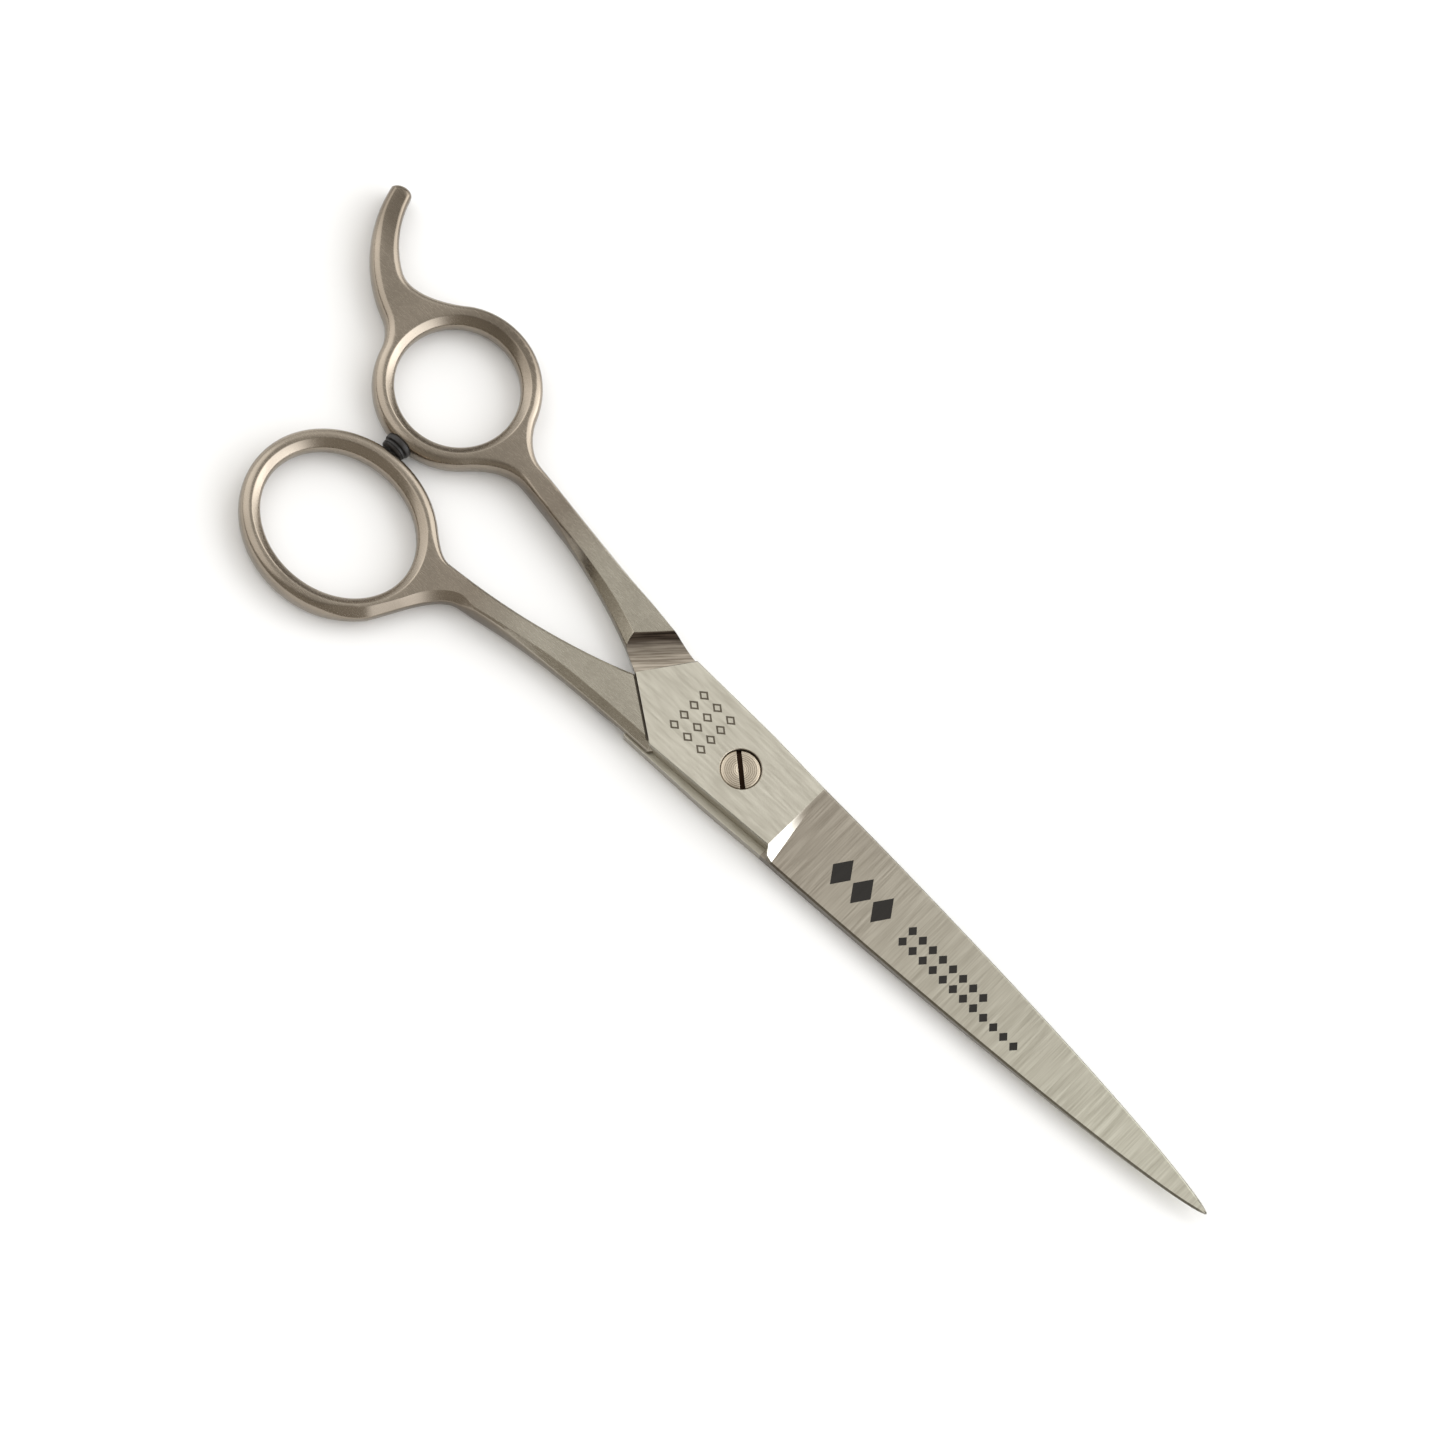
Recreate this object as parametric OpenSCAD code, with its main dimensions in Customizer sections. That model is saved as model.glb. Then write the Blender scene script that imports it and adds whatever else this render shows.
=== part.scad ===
// Barber's hair cutting shears: two forged halves on one slotted pivot screw, with a rubber
// bumper between the rings. Millimetres, +Z up, lying flat. The origin is the pivot axis on
// the table, the closed blades point along +X and the finger ring is on the +Y side.
// Each half is drawn in its own frame: outer face at z = 0, spine towards -Y, handle towards +Y.

/* [Blades] */
// Pivot axis to blade tip
blade_len = 102; // [96:1:108]
// Pivot axis to the spine, at the pivot
spine_w = 7.75; // [7.4:0.05:8.2]
// Thickness of one half at the pivot
leaf_t = 2.47; // [2.2:0.01:2.49]
// Both halves together
total_t = 5; // [5:0.1:5.6]
// Pivot axis to the start of the ground face
plunge_x = 11.6; // [10:0.1:14]

/* [Pivot screw] */
// Diameter of the slotted head
head_d = 6.5; // [6:0.1:7]
// Thickness of the head
head_t = 0.95; // [0.8:0.05:1.1]
// Diameter of the plain shoulder that the upper half turns on
shoulder_d = 5; // [4.6:0.1:5.2]
// Diameter of the threaded end in the lower half
thread_d = 4; // [3.6:0.1:4.2]
// Width of the driver slot
slot_w = 0.85; // [0.6:0.05:1.1]
// Direction of the driver slot, in degrees from +X
slot_turn = -41; // [-90:1:90]

/* [Rings] */
// Diameter of the finger hole
finger_hole_d = 20.2; // [19:0.2:20.6]
// Length of the thumb hole, along the shears
thumb_hole_l = 26.8; // [26:0.2:27.4]
// Width of the thumb hole
thumb_hole_w = 22.6; // [22:0.2:23.2]
// Width of both ring bands
band_w = 3.5; // [3.3:0.1:3.6]
// Thickness of both ring bands
ring_t = 4.8; // [4.4:0.1:5]

/* [Bumper] */
// Diameter of the rubber bumper
bumper_d = 4.2; // [3.6:0.1:4.6]
// Diameter of the flange at the bumper's foot
flange_d = 4.8; // [4.7:0.1:5.2]

/* [Hidden] */
$fn = 96;
far = 200;                        // longer than anything it cuts
steps = 14;                       // points along one curved edge
fit = 0.05;                       // radial running clearance
mid_z = total_t / 2;

// Cutting side of the blade, and the ground face that falls from the spine to the edge
grind_mid = 1.05;                 // depth of the ground face on the axis, at plunge_x
grind_cross = 0.15;               // fall towards the edge, per mm
grind_along = 0.008;              // fall towards the tip, per mm
ricasso_edge = 6.1;               // pivot axis to the cutting side, at plunge_x
crease = [-13.1, 7.4];            // outer end of the crease between shank and flat
crotch = [-22.9, 0.3];            // where the two shanks meet
flat_spine_w = 8.1;               // pivot axis to the flat's spine
back_corner = [-17.2, -8.45];     // spine corner of the flat
shank_inset = 0.3;                // step down from the flat to the shank

// Concave shoulder beside the other half's back edge
ramp_foot = [-24.8, 0];
ramp_turn = 48;
ramp_r = 6.5;

// Edges of the two shanks, each a cubic curve on four points
finger_outer = [[-12.6, 7.95], [-26, 9.9], [-42, 11.8], [-57, 14.25]];
finger_inner = [crotch, [-29, 3.6], [-42, 8.6], [-57, 10.1]];
thumb_outer = [[-12.6, 8], [-25, 8.2], [-40, 9], [-50.5, 11.9]];
thumb_inner = [crotch, [-29, 2.9], [-42, 7], [-56, 8]];

// Finger ring, and the curved rest beyond it
finger_c = [-75.5, 14.6];
finger_mid_r = (finger_hole_d + band_w) / 2;
rest_out_c = [-82.8, 36.5];
rest_out_r = 23.7;
rest_in_c = [-85.4, 37.1];
rest_in_r = 17.6;
rest_tip = [-104.1, 31.6];
rest_tip_r = 1.9;

// Thumb ring: an oval of four arcs that meet at 45 degrees
thumb_c = [-73, 15.6];
thumb_mid_a = (thumb_hole_l + band_w) / 2;
thumb_mid_b = (thumb_hole_w + band_w) / 2;
arc_shift = (thumb_mid_a - thumb_mid_b) / (2 - sqrt(2));
end_r = thumb_mid_a - arc_shift;
side_r = thumb_mid_b + arc_shift;

// Bumper, between the two rings
bumper_x = finger_c[0];
ring_foot_y = finger_c[1] - finger_mid_r - band_w / 2;
bumper_reach = 1.75;              // how far the rubber stands off the finger ring
bumper_seat = 0.3;                // how deep its foot is let into the ring
flange_t = 0.6;
stud_d = 1.6;

function bezier(p, t) = pow(1 - t, 3) * p[0] + 3 * pow(1 - t, 2) * t * p[1]
    + 3 * (1 - t) * t * t * p[2] + t * t * t * p[3];
function curve(p) = [for (i = [0 : steps]) bezier(p, i / steps)];
function reversed(list) = [for (i = [len(list) - 1 : -1 : 0]) list[i]];
function arc(c, r, from, to) =
    [for (i = [0 : steps]) let (a = from + (to - from) * i / steps) c + r * [cos(a), sin(a)]];
// Half the blade's width at x: nearly straight, then rounding in to the tip
function half_w(x) = spine_w * pow(1 - pow(max(x, 0) / blade_len, 1.3), 0.62);

// ---- shared by both halves ----

module leaf_outline() {
    heel_x = plunge_x + 1.2;
    tip = [blade_len, 0];
    xs = [for (i = [0 : steps]) heel_x + (blade_len - heel_x) * sin(90 * i / (steps + 1))];
    edge = [for (x = xs) [x, half_w(x)]];
    spine = [for (x = reversed(xs)) [x, -half_w(x)]];
    flat = [[0, -flat_spine_w], back_corner, crotch, [-20, 8], crease, [plunge_x, ricasso_edge]];
    polygon(concat(edge, [tip], spine, flat));
}

// Everything under a plane that rises by cross per mm of y and by along per mm of x
module under_plane(cross, along) {
    rotate([atan(cross), -atan(along), 0])
        translate([-far, -far, -far])
            cube([2 * far, 2 * far, far]);
}

module grind_cut() {
    intersection() {
        translate([plunge_x, 0, grind_mid]) under_plane(grind_cross, grind_along);
        translate([plunge_x, 0, 0]) under_plane(0, 1);
    }
}

module ramp_cut() {
    translate([ramp_foot[0], ramp_foot[1], leaf_t]) rotate([0, 0, ramp_turn]) {
        translate([-far / 2, -far, 0]) cube([far, far, far]);
        translate([-far / 2, 0, ramp_r]) rotate([0, 90, 0]) cylinder(h = far, r = ramp_r);
    }
}

module shank(outer, inner) {
    translate([0, 0, shank_inset])
        linear_extrude(total_t - 2 * shank_inset)
            polygon(concat(curve(outer), reversed(curve(inner))));
}

module leaf() {
    difference() {
        linear_extrude(leaf_t) leaf_outline();
        grind_cut();
    }
}

// Cross-section of a ring band: crowned outside, crest near the hole, straight inner wall
module band_section() {
    w = band_w / 2;
    h = ring_t / 2;
    polygon([[-w, -0.45 * h], [-0.7 * w, -0.85 * h], [-0.2 * w, -h], [0.45 * w, -0.75 * h],
             [w, -0.3 * h], [w, 0.3 * h], [0.45 * w, 0.75 * h], [-0.2 * w, h],
             [-0.7 * w, 0.85 * h], [-w, 0.45 * h]]);
}

// ---- finger half: the lower one ----

module finger_ring() {
    translate([finger_c[0], finger_c[1], mid_z])
        rotate_extrude()
            translate([finger_mid_r, 0]) band_section();
}

// Flat webs that run the shank and the rest into the ring
module finger_webs() {
    t = ring_t - 1.6;
    translate([0, 0, mid_z - t / 2]) linear_extrude(t) difference() {
        union() {
            polygon([[-56, 9.9], [-60, 9.7], [-63.4, 8], [-66, 5.4], [-66, 22.5],
                     [-62.6, 18.2], [-60, 15.7], [-56, 13.9]]);
            polygon([[-85.6, 5.5], [-88.6, 9.6], [-91.4, 14.4], [-96.2, 16.9], [-96.5, 23.3],
                     [-94, 21.8], [-90.9, 21.6], [-87.2, 22.8], [-83.5, 25]]);
        }
        translate(finger_c) circle(d = finger_hole_d + band_w);
    }
}

module finger_rest() {
    t = ring_t - 0.8;
    translate([0, 0, mid_z - t / 2]) linear_extrude(t) {
        polygon(concat(arc(rest_out_c, rest_out_r, 243, 194), arc(rest_in_c, rest_in_r, 197, 236)));
        translate(rest_tip) circle(rest_tip_r);
    }
}

module finger_half() {
    color([0.78, 0.75, 0.70]) difference() {
        union() {
            leaf();
            shank(finger_outer, finger_inner);
            finger_ring();
            finger_webs();
            finger_rest();
        }
        ramp_cut();
        translate([0, 0, -1]) cylinder(h = total_t, d = thread_d + 2 * fit);
        bumper_pocket();
    }
}

module bumper_pocket() {
    translate([bumper_x, ring_foot_y - 1, mid_z]) rotate([-90, 0, 0]) {
        cylinder(h = 1 + bumper_seat, d = flange_d);
        cylinder(h = 1 + band_w - 0.5, d = stud_d);
    }
}

// ---- thumb half: the upper one, drawn in the same own frame and turned over ----

module oval_arc(centre, r, from) {
    translate(centre) rotate([0, 0, from])
        rotate_extrude(angle = 90) translate([r, 0]) band_section();
}

module thumb_ring() {
    translate([thumb_c[0], thumb_c[1], mid_z]) {
        oval_arc([arc_shift, 0, 0], end_r, -45);
        oval_arc([-arc_shift, 0, 0], end_r, 135);
        oval_arc([0, -arc_shift, 0], side_r, 45);
        oval_arc([0, arc_shift, 0], side_r, 225);
    }
}

module thumb_web() {
    t = ring_t - 1.6;
    translate([0, 0, mid_z - t / 2]) linear_extrude(t)
        polygon([[-49.5, 7.5], [-55, 8], [-58, 6.9], [-61.4, 4.4], [-59.7, 9.5], [-58.4, 15],
                 [-59, 22.5], [-56.6, 18], [-53.8, 14.6], [-50, 11.7]]);
}

module thumb_half() {
    recess_d = head_d + 0.3;
    recess_t = head_t + 0.25;
    color([0.76, 0.74, 0.68]) translate([0, 0, total_t]) rotate([180, 0, 0]) difference() {
        union() {
            leaf();
            shank(thumb_outer, thumb_inner);
            thumb_ring();
            thumb_web();
        }
        ramp_cut();
        translate([0, 0, -1]) cylinder(h = total_t, d = shoulder_d + 2 * fit);
        translate([0, 0, -1]) cylinder(h = 1 + recess_t, d = recess_d);
    }
}

// ---- hardware ----

module pivot_screw() {
    head_top = total_t - 0.25;
    head_foot = head_top - head_t;
    seat = leaf_t + 0.02;
    slot_t = 0.5;
    color([0.70, 0.62, 0.54]) difference() {
        union() {
            cylinder(h = seat + 0.1, d = thread_d);
            translate([0, 0, seat]) cylinder(h = head_foot - seat + 0.1, d = shoulder_d);
            translate([0, 0, head_foot]) cylinder(h = head_t, d = head_d);
        }
        rotate([0, 0, slot_turn]) translate([-head_d, -slot_w / 2, head_top - slot_t])
            cube([2 * head_d, slot_w, 1]);
    }
}

module bumper() {
    nose = bumper_reach + bumper_seat;
    color([0.12, 0.11, 0.10]) translate([bumper_x, ring_foot_y + bumper_seat, mid_z])
        rotate([90, 0, 0]) difference() {
            union() {
                cylinder(h = flange_t + bumper_seat, d = flange_d - 0.1);
                cylinder(h = nose - 0.3, d = bumper_d);
                translate([0, 0, nose - 0.3]) cylinder(h = 0.3, d1 = bumper_d, d2 = bumper_d - 0.6);
            }
            translate([0, 0, -1]) cylinder(h = 2.1, d = stud_d);
        }
}

module bumper_stud() {
    color([0.72, 0.71, 0.69]) translate([bumper_x, ring_foot_y + band_w - 0.6, mid_z])
        rotate([90, 0, 0]) cylinder(h = band_w + 0.5 - bumper_seat, d = stud_d - 0.02);
}

finger_half();
thumb_half();
pivot_screw();
bumper();
bumper_stud();
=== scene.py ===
# Barber's hair cutting shears, lying flat and closed on a pale table.
# Metres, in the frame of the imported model: +X to the tips, +Y to the finger ring, +Z up.
import math

import bmesh
import bpy
from mathutils import Matrix, Vector


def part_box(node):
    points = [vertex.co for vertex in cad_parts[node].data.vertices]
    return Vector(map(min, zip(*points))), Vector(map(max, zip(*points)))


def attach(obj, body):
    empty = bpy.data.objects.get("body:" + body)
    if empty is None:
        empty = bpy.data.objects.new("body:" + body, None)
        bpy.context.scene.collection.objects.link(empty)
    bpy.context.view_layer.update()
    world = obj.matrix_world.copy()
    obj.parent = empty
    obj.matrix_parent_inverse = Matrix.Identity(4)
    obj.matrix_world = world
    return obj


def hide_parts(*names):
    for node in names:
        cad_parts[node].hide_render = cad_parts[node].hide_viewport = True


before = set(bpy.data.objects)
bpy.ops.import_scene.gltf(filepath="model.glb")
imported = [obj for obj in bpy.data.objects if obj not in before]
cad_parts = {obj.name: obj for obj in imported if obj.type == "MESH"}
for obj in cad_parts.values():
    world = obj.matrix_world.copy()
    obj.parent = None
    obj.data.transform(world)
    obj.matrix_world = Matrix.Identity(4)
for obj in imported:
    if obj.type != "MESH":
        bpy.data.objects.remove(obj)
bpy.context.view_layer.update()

# ---------------------------------------------------------------- camera
# A long lens looks steeply down on the shears from the tip's side, rolled so that the handles
# stand at the upper left and the tip points to the lower right.
MM = 0.001
scene = bpy.context.scene

PLAN_TURN = math.radians(0.82)             # of the shears about the pivot, in plan
TILT = math.radians(70)                    # height of the camera above the horizon
PIVOT_IN_VIEW = (0.0128, -0.0322)          # where the pivot lies in the frame, as shares of it
VIEW_WIDTH = 228 * MM
CAMERA_DISTANCE = 6


def camera_axes():
    """Right and up of the camera, from where the table's directions run in its view."""
    away = Vector((0.376, 0.926))          # away from the camera, over the table
    away.normalize()
    along = Vector((0.7032, -0.7110))      # +X, if nothing were tilted or turned
    across = Vector((0.7110, 0.7032))      # +Y, likewise
    c, s = math.cos(PLAN_TURN), math.sin(PLAN_TURN)
    x_dir = along * c + across * s
    y_dir = across * c - along * s
    squash = math.sin(TILT)

    def seen(v):
        return v + away * (v.dot(away) * (squash - 1))

    x_seen, y_seen = seen(x_dir), seen(y_dir)
    z_seen = away * math.cos(TILT)
    right = Vector((x_seen.x, y_seen.x, z_seen.x)).normalized()
    up = Vector((x_seen.y, y_seen.y, z_seen.y)).normalized()
    return right, up


right, up = camera_axes()
back = right.cross(up)
focus = Vector((0, 0, 5 * MM)) - (right * PIVOT_IN_VIEW[0] + up * PIVOT_IN_VIEW[1]) * VIEW_WIDTH
camera_data = bpy.data.cameras.new("camera")
camera_data.sensor_width = 36
camera_data.lens = 36 * CAMERA_DISTANCE / VIEW_WIDTH
camera = bpy.data.objects.new("camera", camera_data)
scene.collection.objects.link(camera)
turn = Matrix((right, up, back)).transposed()
camera.matrix_world = Matrix.Translation(focus + back * CAMERA_DISTANCE) @ turn.to_4x4()
scene.camera = camera

# ---------------------------------------------------------------- table and light
# A pale matt table top, with soft lamps at the upper right, opposite it and overhead.
# The room is bright all round except behind the viewer, which is what steel shows as dark.


def deselect():
    bpy.ops.object.select_all(action="DESELECT")


def pick(obj):
    """Makes one object the only selected one and the active one."""
    deselect()
    obj.select_set(True)
    bpy.context.view_layer.objects.active = obj


def linear(hex_colour):
    """sRGB hex such as B8B0A2 to the linear RGBA that the shaders take."""
    def one(c):
        return c / 12.92 if c <= 0.04045 else ((c + 0.055) / 1.055) ** 2.4
    return tuple(one(int(hex_colour[i:i + 2], 16) / 255) for i in (0, 2, 4)) + (1,)


def add_node(tree, kind, settings=None, links=None):
    """One node with its settings, and its inputs set to values or joined to other sockets."""
    node = tree.nodes.new(kind)
    for key, value in (settings or {}).items():
        setattr(node, key, value)
    for key, value in (links or {}).items():
        if isinstance(value, bpy.types.NodeSocket):
            tree.links.new(value, node.inputs[key])
        else:
            node.inputs[key].default_value = value
    return node


def new_material(name):
    material = bpy.data.materials.new(name)
    material.use_nodes = True
    return material, material.node_tree, material.node_tree.nodes["Principled BSDF"]


deselect()
bpy.ops.mesh.primitive_plane_add(size=6, location=(0, 0, -0.05 * MM))
table = bpy.context.object
table.name = "table"
table_paint, tree, shader = new_material("matt_white_table")
shader.inputs["Base Color"].default_value = linear("F4F4F4")
shader.inputs["Roughness"].default_value = 0.8
shader.inputs["Specular IOR Level"].default_value = 0.2
table.data.materials.append(table_paint)


def soft_lamp(name, place, size, power, on_steel):
    """A large disk lamp that lights either the steel, by its reflection, or the table."""
    data = bpy.data.lights.new(name, "AREA")
    data.shape = "DISK"
    data.size = size
    data.energy = power
    lamp = bpy.data.objects.new(name, data)
    lamp.location = place
    lamp.rotation_euler = (-Vector(place)).to_track_quat("-Z", "Y").to_euler()
    lamp.visible_glossy = on_steel
    lamp.visible_diffuse = not on_steel
    scene.collection.objects.link(lamp)


soft_lamp("steel_key", (0.8, 1.65, 1.1), 2.6, 23, True)
soft_lamp("steel_fill", (-1.3, -0.4, 1.3), 2.6, 16, True)
soft_lamp("table_key", (0.45, 1.75, 1.2), 2.4, 20, False)
soft_lamp("table_fill", (-1.3, -0.6, 1.3), 2.6, 15, False)
soft_lamp("table_top_light", (0.1, 0.2, 2.2), 3, 9, False)

world = bpy.data.worlds.new("room")
world.use_nodes = True
scene.world = world
tree = world.node_tree
tree.nodes.clear()
where = add_node(tree, "ShaderNodeTexCoord").outputs["Generated"]


def room_side(direction, start, start_colour, end, end_colour):
    """Colour that runs from one to another as the view turns towards a direction."""
    towards = Vector(direction).normalized()
    nearness = add_node(tree, "ShaderNodeVectorMath", {"operation": "DOT_PRODUCT"},
                        {0: where, 1: towards})
    ramp = add_node(tree, "ShaderNodeValToRGB", None, {"Fac": nearness.outputs["Value"]})
    ramp.color_ramp.elements[0].position = start
    ramp.color_ramp.elements[0].color = (*start_colour, 1)
    ramp.color_ramp.elements[1].position = end
    ramp.color_ramp.elements[1].color = (*end_colour, 1)
    return ramp.outputs["Color"]


ceiling = room_side((0, 0, 1), 0.72, (1.0, 1.0, 0.98), 0.93, (0.6, 0.585, 0.555))
viewer = room_side((0, -1, 0.25), 0.05, (1, 1, 1), 0.6, (0.38, 0.35, 0.31))
far_wall = room_side((-0.15, 1, 0), 0.7, (1, 1, 1), 0.97, (0.45, 0.44, 0.42))
window = room_side((0.93, 0.28, 0.16), 0.7, (0, 0, 0), 0.95, (1, 1, 1))
walls = add_node(tree, "ShaderNodeVectorMath", {"operation": "MULTIPLY"}, {0: ceiling, 1: viewer})
walls = add_node(tree, "ShaderNodeVectorMath", {"operation": "MULTIPLY"},
                 {0: walls.outputs["Vector"], 1: far_wall})
room = add_node(tree, "ShaderNodeVectorMath", {"operation": "MULTIPLY_ADD"},
                {0: window, 1: (1.9, 1.95, 2.05), 2: walls.outputs["Vector"]})
background = add_node(tree, "ShaderNodeBackground", None, {"Color": room.outputs["Vector"]})
add_node(tree, "ShaderNodeOutputWorld", None, {"Surface": background.outputs["Background"]})
scene.view_settings.view_transform = "Standard"

# ---------------------------------------------------------------- one half's leaf
# The flat round the pivot and the blade, forged in one and milled flat. The blade's face is
# ground down from the spine to the edge, and the grind ends in a steep facet at the flat.
PARTING = 0.03                             # from the parting plane to each leaf, mm
LEAF_T = 2.47
MID_Z = 2.5
BLADE_L = 102
SPINE_W = 7.75
PLUNGE_X = 11.6                            # start of the ground face
HEEL_X = 12.6                              # start of the cutting edge
FLAT_SPINE_W = 8.1                         # from the pivot axis to the flat's spine
EDGE_T = 0.3                               # left at the cutting edge
FACE_SLOPE = 0.148                         # of the ground face, from edge to spine
SPINE_CHAMFER, SPINE_DROP = 0.45, 0.2      # width and height of the spine's chamfer
SPINE_DRAFT = 0.22                         # how far the spine leans in, from inner to outer face
EDGE_BEVEL = 0.3
TIP_SETBACK = 0.7                          # of the outer face's tip behind the inner face's
EDGE_WALL = 0.06                           # height of the wall under the cutting edge's bevel
FLAT_EDGE_DROP, CREASE_DROP = 0.12, 0.6    # from the outer face down to the top of these walls
FINE_EASE = 0.07                           # rounding of the leaf's sharp edges
CREASE_SLOPE = 0.15
GROOVE_W, GROOVE_T = 0.32, 0.4             # of the groove along the crease
CREASE = (-13.1, -7.4)
CROTCH = (-22.9, -0.3)
BACK_CORNER = (-17.2, 8.45)
FLAT_EDGE_Y = -6.1


def coords_in_mm(tree, scale=(1, 1, 1), turn=0):
    """The piece's own coordinates in millimetres, from axes turned about Z, times a scale along
    each axis."""
    coords = add_node(tree, "ShaderNodeTexCoord")
    turned_axes = add_node(tree, "ShaderNodeVectorRotate", {"rotation_type": "Z_AXIS"},
                           {"Vector": coords.outputs["Object"], "Angle": -turn})
    mapping = add_node(tree, "ShaderNodeMapping", None, {"Vector": turned_axes.outputs["Vector"]})
    mapping.inputs["Scale"].default_value = [1000 * s for s in scale]
    return mapping.outputs["Vector"]


def maths(tree, operation, first, second=0.0):
    node = add_node(tree, "ShaderNodeMath", {"operation": operation}, {0: first, 1: second})
    return node.outputs[0]


def blended(tree, share, first, second):
    """One colour turning into another as share goes from 0 to 1."""
    node = add_node(tree, "ShaderNodeMix", {"data_type": "RGBA"})
    for socket, value in ((0, share), (6, first), (7, second)):
        if isinstance(value, bpy.types.NodeSocket):
            tree.links.new(value, node.inputs[socket])
        else:
            node.inputs[socket].default_value = value
    return node.outputs[2]


def remap(tree, value, low, high, to_low=0, to_high=1):
    node = add_node(tree, "ShaderNodeMapRange", None,
                    {"Value": value, "From Min": low, "From Max": high})
    node.inputs["To Min"].default_value = to_low
    node.inputs["To Max"].default_value = to_high
    return node.outputs["Result"]


def scratches(tree, scale, turn):
    """Fine grinding lines: noise stretched along the axis whose scale, per mm, is the least."""
    node = add_node(tree, "ShaderNodeTexNoise", None,
                    {"Vector": coords_in_mm(tree, scale, turn), "Scale": 1, "Detail": 3})
    return node.outputs["Fac"]


def facing(tree, axis):
    """How far a surface faces along an axis of the piece, either way: 0 to 1."""
    normal = add_node(tree, "ShaderNodeTexCoord").outputs["Normal"]
    along = add_node(tree, "ShaderNodeSeparateXYZ", None, {0: normal}).outputs[axis]
    return maths(tree, "ABSOLUTE", along)


def upright(tree):
    """1 on walls and 0 on faces that lie flat."""
    return remap(tree, facing(tree, "Z"), 0.75, 0.3)


def steel(name, roughness, lines, depth, turn=0):
    """Bare stainless steel with bumps of a depth in mm from its grinding lines, which can be
    turned about Z."""
    material, tree, shader = new_material(name)
    shader.inputs["Metallic"].default_value = 1
    height = scratches(tree, lines, turn)
    bump = add_node(tree, "ShaderNodeBump", None,
                    {"Height": height, "Strength": 1, "Distance": depth * MM})
    tree.links.new(bump.outputs["Normal"], shader.inputs["Normal"])
    tree.links.new(remap(tree, height, 0.3, 0.7, roughness - 0.06, roughness + 0.06),
                   shader.inputs["Roughness"])
    return material, tree, shader, height


ETCHED_X, ETCHED_Y = -9.6, 1.25            # middle of the etched block
ETCHED_PITCH_X, ETCHED_PITCH_Y = 2.9, 2.3  # from lozenge to lozenge
ETCHED_HALF_L, ETCHED_HALF_H = 1.15, 0.95  # half sizes; the outline is at 0.52 to 0.92 of them


def with_painted_shade_on_sides(tree, ground, share):
    """Painted shade: the leaf's walls and chamfers are darkened by a share, and its faces are not.
    """
    side = maths(tree, "MULTIPLY", remap(tree, facing(tree, "Y"), 0.28, 0.45), share)
    return blended(tree, side, ground, linear("4A443B"))


def flat_steel():
    """Stainless ground flat on a belt: pale and even, with lines along the shears and a block of
    small etched lozenges. The lines are really 0.05 mm apart and are drawn 0.4 mm apart to show."""
    material, tree, shader, lines = steel("belt_ground_stainless", 0.34, (0.25, 2.5, 2.5), 0.002)
    ground = blended(tree, lines, linear("C8C3B4"), linear("DBD7CA"))
    # painted shade on the walls and chamfers
    ground = with_painted_shade_on_sides(tree, ground, 0.45)
    # three rows of four small lozenges, each row across the leaf, on the outer face
    x, y, z = add_node(tree, "ShaderNodeSeparateXYZ", None, {0: coords_in_mm(tree)}).outputs
    block_x, block_y = maths(tree, "SUBTRACT", x, ETCHED_X), maths(tree, "SUBTRACT", y, ETCHED_Y)
    to_next_x, to_next_y = ETCHED_PITCH_X / 2, ETCHED_PITCH_Y / 2
    from_row = maths(tree, "PINGPONG", block_x, to_next_x)
    from_column = maths(tree, "PINGPONG", maths(tree, "ADD", block_y, to_next_y), to_next_y)
    size = maths(tree, "ADD", maths(tree, "DIVIDE", from_row, ETCHED_HALF_L),
                 maths(tree, "DIVIDE", from_column, ETCHED_HALF_H))
    from_line = maths(tree, "ABSOLUTE", maths(tree, "SUBTRACT", size, 0.72))
    outline = maths(tree, "LESS_THAN", from_line, 0.2)
    in_rows = maths(tree, "LESS_THAN", maths(tree, "ABSOLUTE", block_x), 1.5 * ETCHED_PITCH_X)
    in_columns = maths(tree, "LESS_THAN", maths(tree, "ABSOLUTE", block_y), 2 * ETCHED_PITCH_Y)
    on_top = maths(tree, "GREATER_THAN", z, 4.5)
    block = maths(tree, "MULTIPLY", maths(tree, "MULTIPLY", in_rows, in_columns), on_top)
    etched = maths(tree, "MULTIPLY", outline, block)
    tree.links.new(blended(tree, etched, ground, linear("6B6459")), shader.inputs["Base Color"])
    return material


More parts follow.
